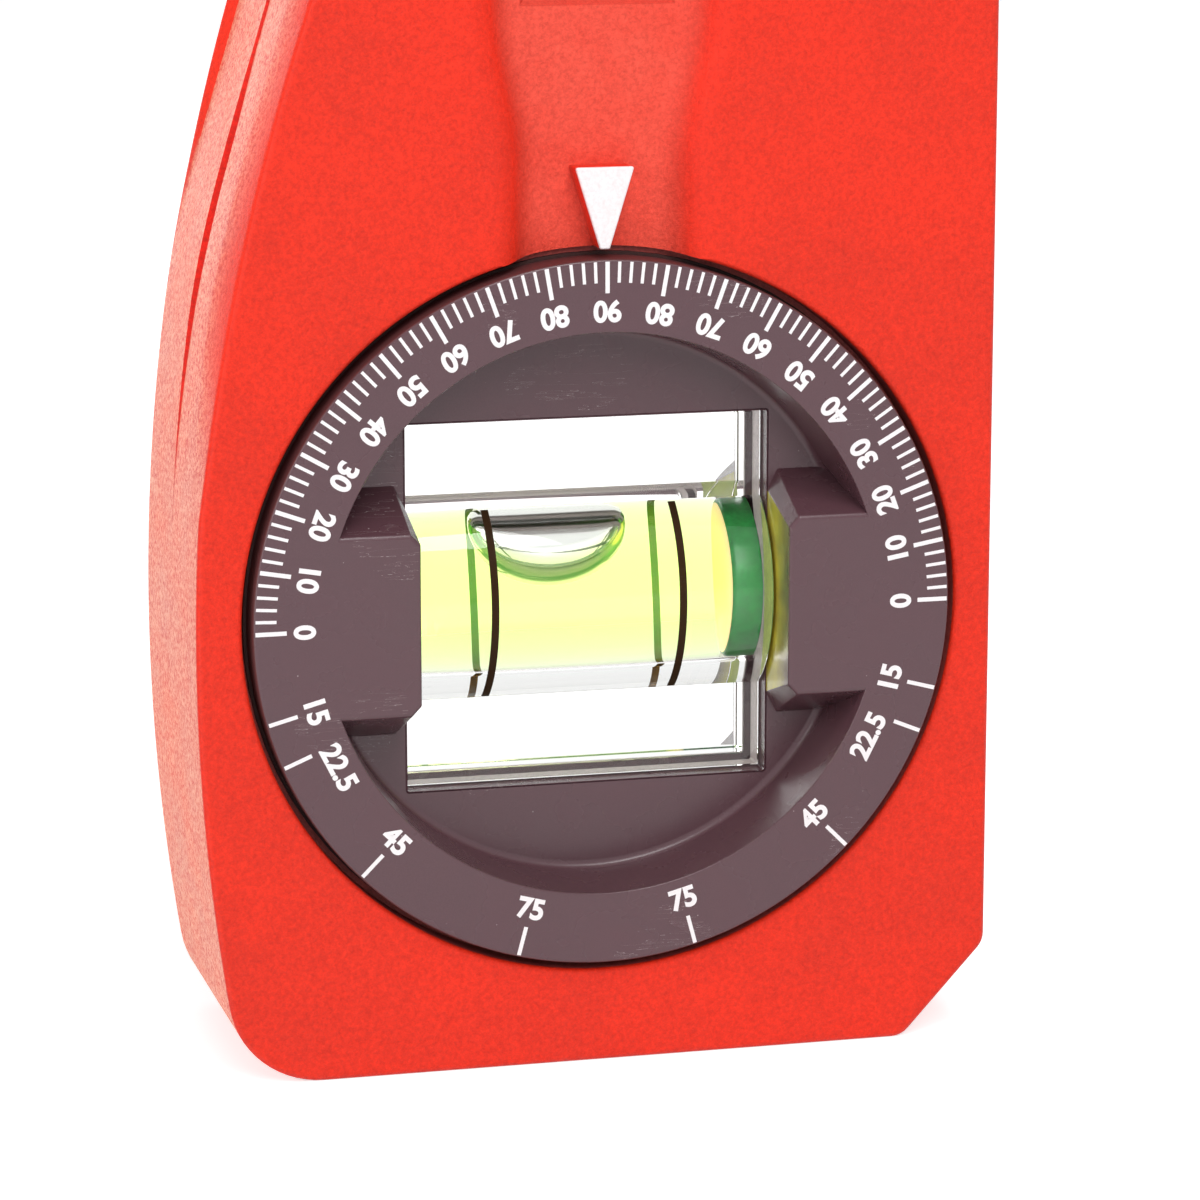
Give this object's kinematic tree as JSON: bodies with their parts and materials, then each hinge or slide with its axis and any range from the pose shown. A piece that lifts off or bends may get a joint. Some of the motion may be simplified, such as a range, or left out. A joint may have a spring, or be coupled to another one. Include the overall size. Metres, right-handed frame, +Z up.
{
  "type": "pocket level",
  "caption": "Pocket level with a curved grip side, a straight grooved magnetic base and a clear bubble vial in a graduated dial that turns in the body.",
  "frame": {"origin": "middle of the bottom end that the level stands on", "axes": "+Z up along the level's length, +X towards the straight measuring base, -Y towards the front face; the dial's axis runs along Y"},
  "size_m": [0.0512, 0.0202, 0.1],
  "materials": {
    "red_coat": "fine-grained red powder coat",
    "pointer_paint": "speckled off-white paint",
    "dial_plastic": "satin dark grey-brown plastic with white print",
    "ring_rubber": "matt black",
    "clear_acrylic": "polished clear",
    "level_liquid": "clear yellow-green liquid",
    "plug_plastic": "green translucent",
    "line_ink": "black print",
    "screw_steel": "zinc plated",
    "magnet_plating": "bright nickel",
    "cup_steel": "plated steel"
  },
  "bodies": {
    "body": {"body": "red_coat", "front_pointer": "pointer_paint", "rear_pointer": "pointer_paint", "magnet_1": "magnet_plating", "magnet_2": "magnet_plating", "magnet_3": "magnet_plating", "magnet_cup_1": "cup_steel", "magnet_cup_2": "cup_steel", "magnet_cup_3": "cup_steel"},
    "dial": {"front_dial": "dial_plastic", "rear_dial": "dial_plastic", "front_friction_ring": "ring_rubber", "rear_friction_ring": "ring_rubber", "vial_block": "clear_acrylic", "vial_liquid": "level_liquid", "vial_plug": "plug_plastic", "front_left_line": "line_ink", "front_right_line": "line_ink", "rear_left_line": "line_ink", "rear_right_line": "line_ink", "dial_screw_1": "screw_steel", "dial_screw_2": "screw_steel", "dial_screw_3": "screw_steel", "dial_screw_4": "screw_steel"}
  },
  "joints": [
    {"name": "dial_turn", "type": "hinge", "parent": "body", "child": "dial", "pos_m": [0.0002, 0, 0.029], "axis": [0, -1, 0], "continuous": true}
  ]
}
